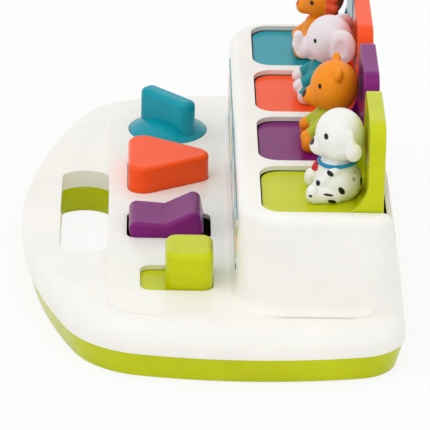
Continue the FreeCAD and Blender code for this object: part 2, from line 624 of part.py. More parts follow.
def make_head(x, name):
    """A figure's head with its muzzle and ears."""
    y, z, radius = HEAD_Y, size("head_z"), size("head_radius")
    parts = []
    if name == "dog":
        parts.append(capsule(Vector(x, y - 6, z - 3.5), Vector(x, y - 12.0, z - 4.2), 7.2, 4.6))
        for side in (-1, 1):
            parts.append(capsule(Vector(x + side * 11.6, y + 3.5, z + 5.5),
                                 Vector(x + side * 13.4, y + 4.5, z - 6.5), 3.4, 4.2))
    if name == "bear":
        parts.append(capsule(Vector(x, y - 6, z - 4), Vector(x, y - 12.2, z - 5.5), 7.0, 4.0))
        for side in (-1, 1):
            parts.append(ball(x + side * 9.8, y + 2.0, z + 9.4, 4.3))
    if name == "elephant":
        route = [Vector(x, y - 9, z - 3), Vector(x, y - 14.2, z - 7.5), Vector(x, y - 17.0, z - 3.0),
                 Vector(x, y - 17.6, z + 2.5)]
        widths = [5.6, 4.6, 3.6, 2.9]
        for index in range(len(route) - 1):
            parts.append(capsule(route[index], route[index + 1], widths[index], widths[index + 1]))
        for side in (-1, 1):
            ear = Part.makeCylinder(9.6, 2.6, Vector(x + side * 12.2, y + 3.5, z + 1.5),
                                    Vector(side, -0.35, 0))
            parts.append(ear.makeFillet(1.2, ear.Edges[:1] + ear.Edges[2:]))
    if name == "lion":
        parts.append(capsule(Vector(x, y - 6, z - 3.5), Vector(x, y - 12.0, z - 5.5), 6.8, 4.4))
        mane = Part.makeTorus(10.6, 4.6, Vector(x, y + 3.2, z), Vector(0, 1, 0.08))
        parts.append(mane)
        for side in (-1, 1):
            parts.append(ball(x + side * 9.2, y - 1.5, z + 9.6, 3.3))
    head = head_mass(x).multiFuse(parts)
    lid_face = LID_FACE_Y - size("lid_thickness") - 0.3
    front_limit = y - 30
    sweep = rod(x - 30, x + 30, HINGE_Y, HINGE_Z, LID_REACH - 0.3)
    head = head.common(box(x - 26, x + 26, front_limit, lid_face, size("neck_z") - 1, z + 30))
    return head.common(sweep).cut(make_trunk_fence(x, name))


def make_trunk_fence(x, name):
    """Return the shoulders and hands that a head's lower features have to clear."""
    y = BODY_Y
    return Part.makeCone(9.0, 8.3, 2.5, Vector(x, y, size("neck_z") - 4.5))


def make_lever(x):
    """One release lever: a bell crank with an arm under its control and an upright post."""
    y, z = LEVER_ROD_Y, size("lever_rod_z")
    half, arm, stem = size("lever_width") / 2, size("lever_arm") / 2, size("lever_post") / 2
    crank = box(x - half, x + half, (CONTROL_Y - size("lever_reach")), y, z - arm, z + arm)
    upright = box(x - half, x + half, y - stem, y + stem, z, size("lever_top_z"))
    hub = rod(x - half, x + half, y, z, size("lever_hub"))
    brace = Part.Face(Part.makePolygon([Vector(x - 1, y - 14, z), Vector(x - 1, y, z),
                                        Vector(x - 1, y, z + 16), Vector(x - 1, y - 14, z)]))
    lever = crank.multiFuse([upright, hub, brace.extrude(Vector(2, 0, 0))])
    bore = size("rod_radius") + size("rod_clearance")
    return lever.cut(rod(x - half - 1, x + half + 1, y, z, bore)).removeSplitter()


def make_turn_knob():
    """The round knob: flange, domed cap, upright fin and spindle in one moulding."""
    y, deck = CONTROL_Y, size("deck_z")
    radius = size("knob_radius")
    flange_low = FLANGE_TOP_Z - size("flange_thickness")
    flange = post(KNOB_X, y, flange_low, FLANGE_TOP_Z, radius + size("flange_lip"))
    rise = size("knob_dome")
    drum = post(KNOB_X, y, FLANGE_TOP_Z, deck, radius)
    dome_radius = (radius ** 2 + rise ** 2) / (2 * rise)
    cap = ball(KNOB_X, y, deck + rise - dome_radius, dome_radius).common(post(KNOB_X, y, deck, deck + rise + 1, radius))
    half_length, half_thick = size("fin_length") / 2, size("fin_thickness") / 2
    top = deck + size("fin_height")
    fin = prism(rounded_rectangle(-half_length, half_length, -half_thick, half_thick, [half_thick * 0.8] * 4, deck),
                size("fin_height"))
    fin = fin.makeFillet(3.2, edges_at(fin, size("fin_height") + deck))
    fin.rotate(Vector(0, 0, 0), Vector(0, 0, 1), size("fin_angle"))
    fin.translate(Vector(KNOB_X, y, 0))
    spindle = post(KNOB_X, y, ARM_TOP_Z + 0.4, flange_low, size("spindle_radius"))
    return flange.multiFuse([drum, cap, fin, spindle]).removeSplitter()


def make_knob_cam():
    """The cam pressed on the knob's spindle, with the peg that pushes its lever down."""
    y = CONTROL_Y
    top = FLANGE_TOP_Z - size("flange_thickness")
    low = top - size("cam_thickness")
    disc = post(KNOB_X, y, low, top, size("cam_radius"))
    peg = post(KNOB_X + size("peg_offset"), y, low - size("peg_length"), low, size("peg_radius"))
    return disc.fuse(peg).cut(post(KNOB_X, y, low - 1, top + 1, size("spindle_radius")))


def make_push_button():
    """The orange triangle: cap, lip under the deck and stem over its lever."""
    deck = size("deck_z")
    top = deck + size("button_height")
    lip_low = FLANGE_TOP_Z - size("flange_thickness")
    cap = triangle(0, FLANGE_TOP_Z, top)
    cap = cap.makeFillet(size("button_round"), edges_at(cap, top))
    lip = triangle(size("flange_lip"), lip_low, FLANGE_TOP_Z)
    stem = post(BUTTON_X, STEM_Y, ARM_TOP_Z + 0.3, lip_low, size("stem_radius"))
    return cap.multiFuse([lip, stem]).removeSplitter()


def make_rocker():
    """The V-shaped rocker on its pin, tilted with its rear wing up."""
    half_width = size("rocker_width") / 2
    reach, wing, valley, skirt = (size("rocker_half"), size("rocker_wing"), size("rocker_valley"),
                                  size("rocker_skirt"))
    profile = [(-reach, skirt), (reach, skirt), (reach, wing), (0, valley), (-reach, wing)]
    points = [Vector(-half_width, y, z) for y, z in profile]
    cap = Part.Face(Part.makePolygon(points + points[:1])).extrude(Vector(2 * half_width, 0, 0))
    tops = [edge for edge in cap.Edges if edge.BoundBox.XLength > half_width and edge.BoundBox.ZMin > wing - 1]
    cap = cap.makeFillet(4.0, tops)
    sides = [edge for edge in cap.Edges if edge.BoundBox.XLength < 0.01 and edge.BoundBox.ZMax > valley]
    cap = cap.makeFillet(size("rocker_round"), sides)
    hub = rod(-half_width, half_width, 0, 0, size("rocker_hub"))
    cheeks = box(-half_width, half_width, -size("rocker_hub"), size("rocker_hub"), 0, skirt + 1)
    rib_y = size("rocker_rib_y")
    rib = box(-2, 2, rib_y - 1.2, rib_y + 1.2, -size("rocker_rib"), skirt + 1)
    rocker = cap.multiFuse([hub, cheeks, rib])
    rocker = rocker.cut(rod(-half_width - 1, half_width + 1, 0, 0, size("rod_radius") + size("rod_clearance")))
    rocker.rotate(Vector(0, 0, 0), Vector(1, 0, 0), size("rocker_tilt"))
    rocker.translate(Vector(ROCKER_X, CONTROL_Y, size("rocker_pin_z")))
    return rocker.removeSplitter()


def make_slider():
    """The square sliding block with the plate that hides its slot from below."""
    gap, deck = size("control_gap"), size("deck_z")
    half = size("slot_half") - gap - 0.8
    rear = SLOT_REAR_Y - gap
    front = rear - size("slider_length")
    top = deck + size("slider_height")
    block_body = prism(rounded_rectangle(SLIDER_X - half, SLIDER_X + half, front, rear,
                                         [size("slot_corner")] * 4, FLANGE_TOP_Z), top - FLANGE_TOP_Z)
    block_body = block_body.makeFillet(size("slider_round"), edges_at(block_body, top))
    lap = size("slider_lap")
    low = FLANGE_TOP_Z - size("slider_plate")
    plate = box(SLIDER_X - size("slot_half") - lap, SLIDER_X + size("slot_half") + lap,
                SLOT_FRONT_Y - lap, SLOT_REAR_Y + lap, low, FLANGE_TOP_Z)
    rib = box(SLIDER_X - 2, SLIDER_X + 2, rear - 8, rear - 4, ARM_TOP_Z + 0.4, low)
    return block_body.multiFuse([plate, rib]).removeSplitter()


def make_label():
    """The printed film on the front of the raised block."""
    half = (BLOCK_HALF_TOP - size("label_side"))
    wire = rounded_rectangle(-half, half, size("label_low_z"), size("label_high_z"), [size("label_corner")] * 4, 0)
    film = prism(wire, size("label_thickness"))
    film.rotate(Vector(0, 0, 0), Vector(1, 0, 0), 90)
    film.translate(Vector(0, BLOCK_FRONT_Y, 0))
    return film


def build():
    """Make every piece in order."""
    add("bottom_tray", make_bottom_tray())
    add("top_housing", make_top_housing())
    add("mechanism_frame", make_mechanism_frame())
    add("front_label", make_label())
    add("foot_pads", Part.makeCompound([post(x, y, 0, size("pad_thickness"), size("pad_radius"))
                                        for x, y in PAD_PLACES]))
    head_z = size("foot_lift") + size("screw_head_height") + 3
    add("housing_screws", Part.makeCompound([screw(x, y, head_z, size("parting_z") + 8 - head_z)
                                             for x, y in BOSS_PLACES]))
    beam_top = FLOOR_Z + size("frame_beam")
    add("frame_screws", Part.makeCompound([screw(x, y, beam_top, size("frame_beam"), True)
                                           for x, y in FRAME_SCREWS]))
    row_half = "1.5 * Sizes.pitch + Sizes.window_width / 2 - Sizes.lid_gap"
    rod_half = row_half + " + Sizes.frame_gap + Sizes.frame_side_plate"
    bound_rod("hinge_rod", rod_half, HINGE_Y_TEXT, HINGE_Z_TEXT)
    bound_rod("lever_rod", rod_half, "Sizes.base_depth / 2 - Sizes.lever_rod_rear", "Sizes.lever_rod_z")
    for index, (x, name) in enumerate(zip(ROW_X, FIGURES)):
        add("lid_" + name, make_lid(x))
        body = make_body(x, name)
        head = make_head(x, name).cut(body)
        add(name + "_body", body)
        add(name + "_head", head)
        add("figure_screw_" + name,
            screw(x, BODY_Y, PLATE_TOP_Z - size("plate_thickness"), 10.0))
        spring_x = "(%d - 1.5) * Sizes.pitch - Sizes.lid_spring_length / 2" % index
        bound_sleeve("lid_spring_" + name, (spring_x, HINGE_Y_TEXT, HINGE_Z_TEXT), True,
                     "Sizes.lid_spring_radius", "Sizes.lid_spring_wall", "Sizes.lid_spring_length")
        add("release_lever_" + name, make_lever(x))
    add("turn_knob", make_turn_knob())
    add("knob_cam", make_knob_cam())
    add("push_button", make_push_button())
    floor = "(Sizes.foot_lift + Sizes.wall)"
    spring_top = "(Sizes.deck_z - Sizes.wall - Sizes.flange_drop - Sizes.flange_thickness)"
    stem_y = "Sizes.base_depth / 2 - Sizes.block_front - Sizes.control_front - Sizes.stem_back"
    bound_sleeve("button_spring", ("-Sizes.pitch / 2 - Sizes.spring_aside", stem_y + " - Sizes.spring_ahead", floor),
                 False, "Sizes.spring_radius", "Sizes.spring_wire", spring_top + " - " + floor)
    add("rocker", make_rocker())
    pin_half = "(Sizes.rocker_width / 2 + Sizes.control_gap + Sizes.lug_gap + Sizes.lug_width)"
    control_y = "Sizes.base_depth / 2 - Sizes.block_front - Sizes.control_front"
    pin = bound("Cylinder", "rocker_pin", ("Sizes.pitch / 2 - " + pin_half, control_y, "Sizes.rocker_pin_z"), True,
                Radius="Sizes.rod_radius", Height="2 * " + pin_half)
    keep(pin, "rocker_pin")
    add("slider", make_slider())


def check_and_write():
    """Refuse failed or invalid pieces, then write each one to its own file."""
    doc.recompute()
    for item in doc.Objects:
        if "Invalid" in item.State or "Error" in item.State:
            raise RuntimeError("failed object: " + item.Label)
    os.makedirs("parts", exist_ok=True)
    for piece in nodes:
        shape = piece.Shape
        if shape.isNull() or not shape.isValid():
            raise RuntimeError("bad shape: " + piece.Label)
        print(piece.Label, len(shape.Solids), round(shape.Volume), shape.BoundBox)
        shape.exportStep(os.path.join("parts", piece.Label + ".step"))


build()
check_and_write()
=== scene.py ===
"""Looks of the pop-up animal toy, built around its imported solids.

The shells, lids, controls and inner works keep their solids and get moulded-plastic and
steel finishes. The four figures, the collar and the coil springs are modelled here in full.
"""

import logging
import math
from dataclasses import dataclass, field
from enum import Enum
from typing import Any, Callable, Optional, Sequence, Union

import bmesh
import bpy
from mathutils import Matrix, Vector

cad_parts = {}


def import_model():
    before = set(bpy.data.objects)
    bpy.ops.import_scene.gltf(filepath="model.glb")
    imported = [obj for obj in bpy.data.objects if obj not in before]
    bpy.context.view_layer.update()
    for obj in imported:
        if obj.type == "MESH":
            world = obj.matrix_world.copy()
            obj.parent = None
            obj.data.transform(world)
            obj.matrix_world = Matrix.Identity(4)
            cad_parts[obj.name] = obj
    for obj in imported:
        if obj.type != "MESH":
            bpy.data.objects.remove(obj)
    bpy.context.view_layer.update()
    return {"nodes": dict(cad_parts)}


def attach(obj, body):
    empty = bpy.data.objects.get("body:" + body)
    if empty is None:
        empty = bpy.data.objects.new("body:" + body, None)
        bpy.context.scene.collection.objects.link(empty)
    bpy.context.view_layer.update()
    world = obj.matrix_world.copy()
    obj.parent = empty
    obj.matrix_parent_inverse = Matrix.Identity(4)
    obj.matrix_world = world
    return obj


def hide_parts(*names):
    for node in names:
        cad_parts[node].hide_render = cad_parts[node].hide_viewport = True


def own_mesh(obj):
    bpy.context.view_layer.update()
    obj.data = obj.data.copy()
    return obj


logging.basicConfig(level=logging.INFO, format="%(message)s")
log = logging.getLogger("toy")

MM = 0.001
COIL_STEPS = 20
LIMB_STEPS = 9
COLLAR_STEPS = 48
Point = tuple[float, float, float]
Colour = tuple[float, float, float]


def linear(red: float, green: float, blue: float) -> Colour:
    """Turn a colour written 0 to 255 into the linear values that shaders use.

    Args:
        red: red as it looks on a screen.
        green: green as it looks on a screen.
        blue: blue as it looks on a screen.

    Returns:
        The three linear values.
    """
    def one(value: float) -> float:
        """Turn one channel into its linear value."""
        share = value / 255
        return share / 12.92 if share <= 0.04045 else ((share + 0.055) / 1.055) ** 2.4

    return one(red), one(green), one(blue)


class Kind(Enum):
    """The four animals, named as their nodes are."""

    LION = "lion"
    ELEPHANT = "elephant"
    BEAR = "bear"
    DOG = "dog"


# Shader graphs.

class Value:
    """A number socket that takes part in Python expressions."""

    def __init__(self, graph: "Graph", socket: bpy.types.NodeSocket) -> None:
        """Keep the graph and the socket."""
        self.graph = graph
        self.socket = socket

    def _math(self, operation: str, *terms: Union["Value", float]) -> "Value":
        """Add one Math node over these terms."""
        return self.graph.maths(operation, *terms)

    def __add__(self, other: Union["Value", float]) -> "Value":
        """Return the sum."""
        return self._math("ADD", self, other)

    __radd__ = __add__

    def __sub__(self, other: Union["Value", float]) -> "Value":
        """Return the difference."""
        return self._math("SUBTRACT", self, other)

    def __rsub__(self, other: float) -> "Value":
        """Return a number less this value."""
        return self._math("SUBTRACT", other, self)

    def __mul__(self, other: Union["Value", float]) -> "Value":
        """Return the product."""
        return self._math("MULTIPLY", self, other)

    __rmul__ = __mul__

    def __truediv__(self, other: Union["Value", float]) -> "Value":
        """Return the quotient."""
        return self._math("DIVIDE", self, other)

    def at_most(self, other: Union["Value", float]) -> "Value":
        """Return the smaller of the two."""
        return self._math("MINIMUM", self, other)

    def at_least(self, other: Union["Value", float]) -> "Value":
        """Return the larger of the two."""
        return self._math("MAXIMUM", self, other)

    def root(self) -> "Value":
        """Return the square root."""
        return self._math("SQRT", self)

    def clamped(self) -> "Value":
        """Return the value held between 0 and 1."""
        return self.at_least(0.0).at_most(1.0)


class Graph:
    """One material's nodes, made from types, settings and socket values."""

    def __init__(self, name: str) -> None:
        """Start an empty node material.

        Args:
            name: the material's name.
        """
        self.material = bpy.data.materials.new(name)
        self.material.use_nodes = True
        self.tree = self.material.node_tree
        self.tree.nodes.clear()
        self.place = self.node("ShaderNodeTexCoord")
        self._axes: Optional[tuple[Value, Value, Value]] = None

    def node(self, kind: str, settings: Optional[dict[str, Any]] = None,
             inputs: Optional[dict[Any, Any]] = None) -> bpy.types.Node:
        """Add a node, set it, then fill or link its sockets.

        Args:
            kind: the node's type name.
            settings: properties set first.
            inputs: socket name or number to a number, colour, socket or Value.

        Returns:
            The node.
        """
        item = self.tree.nodes.new(kind)
        for key, value in (settings or {}).items():
            setattr(item, key, value)
        for key, value in (inputs or {}).items():
            self.feed(item.inputs[key], value)
        return item

    def feed(self, socket: bpy.types.NodeSocket, value: Any) -> None:
        """Link a socket, or set it to a plain value.

        Args:
            socket: the socket to fill.
            value: a Value, a socket, a number, or a colour of three numbers.
        """
        if isinstance(value, Value):
            value = value.socket
        if isinstance(value, bpy.types.NodeSocket):
            self.tree.links.new(value, socket)
        elif isinstance(value, tuple) and socket.type == "RGBA":
            socket.default_value = (*value, 1.0)
        else:
            socket.default_value = value

    def maths(self, operation: str, *terms: Union[Value, float]) -> Value:
        """Add a Math node over one to three terms."""
        item = self.node("ShaderNodeMath", {"operation": operation}, dict(enumerate(terms)))
        return Value(self, item.outputs[0])

    def axes(self) -> tuple[Value, Value, Value]:
        """Return X, Y and Z of the surface point in metres, in the object's frame."""
        if self._axes is None:
            split = self.node("ShaderNodeSeparateXYZ", inputs={0: self.place.outputs["Object"]})
            self._axes = tuple(Value(self, split.outputs[index]) for index in range(3))
        return self._axes

    def noise(self, scale: float, detail: float = 3.0) -> Value:
        """Return a noise value round one half; scale is in cells per metre."""
        item = self.node("ShaderNodeTexNoise", inputs={
            "Vector": self.place.outputs["Object"], "Scale": scale, "Detail": detail})
        return Value(self, item.outputs["Fac"])

    def mix(self, share: Union[Value, float], first: Any, second: Any) -> bpy.types.NodeSocket:
        """Return the colour that goes from first to second as share goes from 0 to 1."""
        item = self.node("ShaderNodeMix", {"data_type": "RGBA"}, {0: share, 6: first, 7: second})
        return item.outputs[2]

    def bump(self, height: Value, depth: float, strength: float = 1.0) -> bpy.types.NodeSocket:
        """Return a normal disturbed by a height value; depth is in metres."""
        item = self.node("ShaderNodeBump", inputs={"Height": height, "Distance": depth,
                                                   "Strength": strength})
        return item.outputs["Normal"]

    def surface(self, varying: dict[str, Any], fixed: dict[str, Any]) -> bpy.types.Material:
        """Close the graph with one Principled shader.

        Args:
            varying: sockets fed by the graph.
            fixed: sockets set to one value.

        Returns:
            The material.
        """
        shader = self.node("ShaderNodeBsdfPrincipled", inputs={**fixed, **varying})
        self.node("ShaderNodeOutputMaterial", inputs={"Surface": shader.outputs[0]})
        return self.material


# Finishes.

def spread(noise: Value) -> Value:
    """Return a noise value stretched to cover 0 to 1."""
    return ((noise - 0.35) / 0.3).clamped()


@dataclass(frozen=True)
class MouldedPlastic:
    """Smooth injection-moulded plastic with faint flow mottling and fine handling marks."""

    name: str
    colour: Colour
    roughness: float = 0.24
    mottle: float = 0.05
    shine: float = 0.22
    flow_cells: float = 38.0
    grain_cells: float = 2600.0
    mark_cells: float = 420.0
    mark_depth: float = 0.16

    def material(self) -> bpy.types.Material:
        """Build the finish.

        Returns:
            The material.
        """
        graph = Graph(self.name)
        flow = graph.noise(self.flow_cells, 2.0)
        grain = graph.noise(self.grain_cells, 2.0)
        marks = graph.noise(self.mark_cells, 6.0)
        darker = tuple(channel * (1 - self.mottle) for channel in self.colour)
        lighter = tuple(min(1.0, channel * (1 + self.mottle) + 0.002) for channel in self.colour)
        colour = graph.mix(spread(flow), darker, lighter)
        rough = (marks - 0.5) * self.mark_depth + self.roughness
        return graph.surface(
            {"Base Color": colour, "Roughness": rough.clamped(),
             "Normal": graph.bump(grain, 0.00002, 0.15)},
            {"IOR": 1.49, "Specular IOR Level": self.shine})


@dataclass(frozen=True)
class Patch:
    """A painted or moulded-in patch: the part of a skin inside an ellipsoid, in millimetres."""

    centre: Point
    radii: Point
    colour: Colour
    soft: float = 0.12
    turn: float = 0.0
    glossy: bool = False


@dataclass(frozen=True)
class PaintedVinyl:
    """Soft-touch vinyl in one colour with painted patches over it."""

    name: str
    colour: Colour
    patches: tuple[Patch, ...] = ()
    roughness: float = 0.42
    scatter: float = 0.08
    flow_cells: float = 90.0
    grain_cells: float = 3200.0
    mark_cells: float = 500.0
    mark_depth: float = 0.14
    gloss_share: float = 0.7

    def _inside(self, graph: Graph, patch: Patch) -> Value:
        """Return how far a point lies inside a patch, 0 to 1 with a soft edge.

        Args:
            graph: the finish's graph.
            patch: the painted patch.

        Returns:
            The share of paint.
        """
        x, y, z = graph.axes()
        dx, dy, dz = (axis - centre * MM for axis, centre in zip((x, y, z), patch.centre))
        if patch.turn:
            angle = math.radians(patch.turn)
            dy, dz = (dy * math.cos(angle) + dz * math.sin(angle),
                      dz * math.cos(angle) - dy * math.sin(angle))
        terms = [(offset / (radius * MM)) for offset, radius in zip((dx, dy, dz), patch.radii)]
        squared = terms[0] * terms[0] + terms[1] * terms[1] + terms[2] * terms[2]
        return ((1.0 - squared.root()) / patch.soft + 0.5).clamped()

    def material(self) -> bpy.types.Material:
        """Build the finish, each patch laid over those before it.

        Returns:
            The material.
        """
        graph = Graph(self.name)
        flow = graph.noise(self.flow_cells, 2.0)
        grain = graph.noise(self.grain_cells, 2.0)
        darker = tuple(channel * 0.95 for channel in self.colour)
        colour: Any = graph.mix(spread(flow), darker, self.colour)
        marks = graph.noise(self.mark_cells, 4.0)
        rough = marks * self.mark_depth + (self.roughness - self.mark_depth / 2)
        for patch in self.patches:
            share = self._inside(graph, patch)
            colour = graph.mix(share, colour, patch.colour)
            if patch.glossy:
                rough = rough * (1.0 - share * self.gloss_share)
        return graph.surface(
            {"Base Color": colour, "Roughness": rough, "Normal": graph.bump(grain, 0.00003, 0.25)},
            {"IOR": 1.47, "Specular IOR Level": 0.3, "Subsurface Weight": self.scatter,
             "Subsurface Scale": 0.002})


@dataclass(frozen=True)
class PlainSteel:
    """Drawn steel with a fine grain and a little tarnish."""

    name: str
    colour: Colour = (0.56, 0.56, 0.55)
    tarnish_cells: float = 300.0
    tarnish_shade: float = 0.72
    grain_cells: float = 1800.0

    def material(self) -> bpy.types.Material:
        """Build the finish.

        Returns:
            The material.
        """
        graph = Graph(self.name)
        tarnish = graph.noise(self.tarnish_cells, 4.0)
        colour = graph.mix(((tarnish - 0.4) / 0.3).clamped(), self.colour,
                           tuple(channel * self.tarnish_shade for channel in self.colour))
        return graph.surface(
            {"Base Color": colour, "Roughness": tarnish * 0.3 + 0.16,
             "Normal": graph.bump(graph.noise(self.grain_cells), 0.00002, 0.5)},
            {"Metallic": 1.0})


@dataclass(frozen=True)
class PadRubber:
    """Grey rubber with a dusty bloom."""

    name: str
    colour: Colour = (0.16, 0.16, 0.165)
    bloom_cells: float = 260.0
    bloom_shade: float = 1.45
    grain_cells: float = 2200.0

    def material(self) -> bpy.types.Material:
        """Build the finish.

        Returns:
            The material.
        """
        graph = Graph(self.name)
        bloom = graph.noise(self.bloom_cells, 5.0)
        colour = graph.mix(((bloom - 0.45) / 0.25).clamped(), self.colour,
                           tuple(channel * self.bloom_shade for channel in self.colour))
        return graph.surface(
            {"Base Color": colour, "Roughness": bloom * 0.2 + 0.6,
             "Normal": graph.bump(graph.noise(self.grain_cells), 0.00008, 0.7)},
            {"IOR": 1.5})


WHITE_SHELL = linear(247, 245, 239)
BASE_GREEN = linear(198, 206, 0)
LID_GREEN = linear(200, 208, 0)
TEAL = linear(0, 156, 174)
ORANGE = linear(255, 82, 14)
PURPLE = linear(124, 16, 112)
SKIN_ORANGE = linear(250, 148, 12)
MANE_RED = linear(235, 84, 40)
PALE_GREY = linear(238, 230, 233)
DOG_WHITE = linear(247, 246, 243)
BLUSH = linear(241, 216, 222)
SHIRT_TEAL = linear(20, 150, 158)
SHIRT_GREEN = linear(184, 196, 40)
INK = linear(26, 24, 26)
LIP_BROWN = linear(120, 100, 98)
NOSE_RED = linear(190, 60, 50)
FRAME_GREY = linear(150, 152, 155)
FILM_TEAL = linear(20, 150, 165)
CLOUD_WHITE = linear(236, 240, 242)
BLOT_INKS = (ORANGE, linear(250, 190, 20), linear(250, 250, 248), linear(170, 205, 60))
SPRING_STEEL = (0.5, 0.5, 0.5)
COLLAR_BLUE = linear(10, 142, 190)
TAG_RED = linear(215, 50, 62)

LID_COLOUR = {Kind.LION: TEAL, Kind.ELEPHANT: ORANGE, Kind.BEAR: PURPLE, Kind.DOG: LID_GREEN}


# Mesh making.

def drop(item: bpy.types.Object) -> None:
    """Remove an object and its mesh.

    Args:
        item: the object.
    """
    mesh = item.data
    bpy.data.objects.remove(item)
    bpy.data.meshes.remove(mesh)


def applied(item: bpy.types.Object, name: str) -> bpy.types.Object:
    """Return a new object whose mesh has the modifiers applied.

    Args:
        item: the object with modifiers, which is removed.
        name: the new object's name.

    Returns:
        The new object, linked to the scene.
    """
    graph = bpy.context.evaluated_depsgraph_get()
    mesh = bpy.data.meshes.new_from_object(item.evaluated_get(graph))
    drop(item)
    mesh.name = name
    made = bpy.data.objects.new(name, mesh)
    bpy.context.scene.collection.objects.link(made)
    return made


@dataclass
class Lump:
    """A swelling of a moulded skin: an ellipsoid, or a tapered limb where end is given."""

    centre: Point
    radii: Point
    end: Optional[Point] = None
    end_radius: float = 0.0
    turn: Point = (0.0, 0.0, 0.0)

    def add_to(self, mesh: bmesh.types.BMesh) -> None:
        """Add the lump's closed surface in millimetres.

        Args:
            mesh: the mesh that takes it.
        """
        centre = Vector(self.centre)
        if self.end is None:
            spin = Matrix.Rotation(math.radians(self.turn[0]), 4, "X")
            spin = Matrix.Rotation(math.radians(self.turn[1]), 4, "Y") @ spin
            spin = Matrix.Rotation(math.radians(self.turn[2]), 4, "Z") @ spin
            place = Matrix.Translation(centre) @ spin @ Matrix.Diagonal((*self.radii, 1.0))
            bmesh.ops.create_icosphere(mesh, subdivisions=4, radius=1.0, matrix=place)
            return
        end = Vector(self.end)
        for step in range(LIMB_STEPS + 1):
            share = step / LIMB_STEPS
            radius = self.radii[0] + (self.end_radius - self.radii[0]) * share
            place = Matrix.Translation(centre.lerp(end, share)) @ Matrix.Scale(radius, 4)
            bmesh.ops.create_icosphere(mesh, subdivisions=3, radius=1.0, matrix=place)


@dataclass
class Skin:
    """A moulded skin: lumps melted into one smooth surface, with optional hollows."""

    name: str
    lumps: list[Lump]
    hollows: list[Lump] = field(default_factory=list)
    voxel: float = 0.42
    smoothing: int = 14
    floor: Optional[float] = None
    rear: Optional[float] = None

    def _raw(self, name: str, lumps: Sequence[Lump]) -> bpy.types.Object:
        """Return the lumps as one loose object in millimetres, voxel-melted.

        Args:
            name: a name for the passing object.
            lumps: what it holds.

        Returns:
            The object.
        """
        soup = bmesh.new()
        for lump in lumps:
            lump.add_to(soup)
        mesh = bpy.data.meshes.new(name)
        soup.to_mesh(mesh)
        soup.free()
        item = bpy.data.objects.new(name, mesh)
        bpy.context.scene.collection.objects.link(item)
        melt = item.modifiers.new("melt", "REMESH")
        melt.mode = "VOXEL"
        melt.voxel_size = self.voxel
        return item

    def build(self) -> bpy.types.Object:
        """Melt, carve, smooth and trim the skin, and bring it to metres.

        Returns:
            The finished object.
        """
        item = self._raw(self.name + "_soup", self.lumps)
        carver = None
        if self.hollows:
            carver = self._raw(self.name + "_carver", self.hollows)
            cut = item.modifiers.new("carve", "BOOLEAN")
            cut.operation = "DIFFERENCE"
            cut.object = carver
            cut.solver = "FAST"
            again = item.modifiers.new("melt again", "REMESH")
            again.mode = "VOXEL"
            again.voxel_size = self.voxel
        ease = item.modifiers.new("ease", "SMOOTH")
        ease.factor = 0.5
        ease.iterations = self.smoothing
        made = applied(item, self.name)
        if carver is not None:
            drop(carver)
        self._trim(made.data)
        made.data.transform(Matrix.Scale(MM, 4))
        made.data.shade_smooth()
        return made

    def _trim(self, mesh: bpy.types.Mesh) -> None:
        """Cut the skin flat where it meets its plate and its lid.

        Args:
            mesh: the skin's mesh, in millimetres.
        """
        work = bmesh.new()
        work.from_mesh(mesh)
        cuts = []
        if self.floor is not None:
            cuts.append((Vector((0, 0, self.floor)), Vector((0, 0, -1))))
        if self.rear is not None:
            cuts.append((Vector((0, self.rear, 0)), Vector((0, 1, 0))))
        for point, normal in cuts:
            everything = work.verts[:] + work.edges[:] + work.faces[:]
            found = bmesh.ops.bisect_plane(work, geom=everything, plane_co=point, plane_no=normal,
                                           clear_outer=True)
            rim = [part for part in found["geom_cut"] if isinstance(part, bmesh.types.BMEdge)]
            if rim:
                bmesh.ops.edgenet_fill(work, edges=rim)
        bmesh.ops.recalc_face_normals(work, faces=work.faces[:])
        work.to_mesh(mesh)
        work.free()


def tube(name: str, route: Sequence[Vector], radius: float, closed: bool = False,
         sides: int = 12) -> bpy.types.Object:
    """Build a round tube along a route given in millimetres.

    Args:
        name: the object's name.
        route: the points of its centreline.
        radius: the tube's radius.
        closed: whether the ends join.
        sides: the number of faces round it.

    Returns:
        The object, in metres.
    """
    work = bmesh.new()
    count = len(route)
    rings = []
    side_way = None
    for index, point in enumerate(route):
        before = route[index - 1] if closed or index else route[0]
        after = route[(index + 1) % count] if closed or index < count - 1 else route[-1]
        along = (after - before).normalized()
        if side_way is None:
            side_way = along.orthogonal().normalized()
        side_way = (side_way - along * side_way.dot(along)).normalized()
        up_way = along.cross(side_way)
        ring = []
        for turn in range(sides):
            angle = 2 * math.pi * turn / sides
            offset = side_way * math.cos(angle) + up_way * math.sin(angle)
            ring.append(work.verts.new((point + offset * radius) * MM))
        rings.append(ring)
    spans = count if closed else count - 1
    for index in range(spans):
        ring, following = rings[index], rings[(index + 1) % count]
        for turn in range(sides):
            work.faces.new((ring[turn], ring[(turn + 1) % sides],
                            following[(turn + 1) % sides], following[turn]))
    if not closed:
        work.faces.new(list(reversed(rings[0])))
        work.faces.new(rings[-1])
    bmesh.ops.recalc_face_normals(work, faces=work.faces[:])
    mesh = bpy.data.meshes.new(name)
    work.to_mesh(mesh)
    work.free()
    mesh.shade_smooth()
    item = bpy.data.objects.new(name, mesh)
    bpy.context.scene.collection.objects.link(item)
    return item


def dress(item: bpy.types.Object, material: bpy.types.Material) -> None:
    """Give an object one material and report it.

    Args:
        item: a solid of the model, or a piece made here.
        material: its finish.
    """
    item.data.materials.clear()
    item.data.materials.append(material)
    log.info("piece %s: %s, %d faces", item.name, material.name, len(item.data.polygons))


# Sub-assemblies.

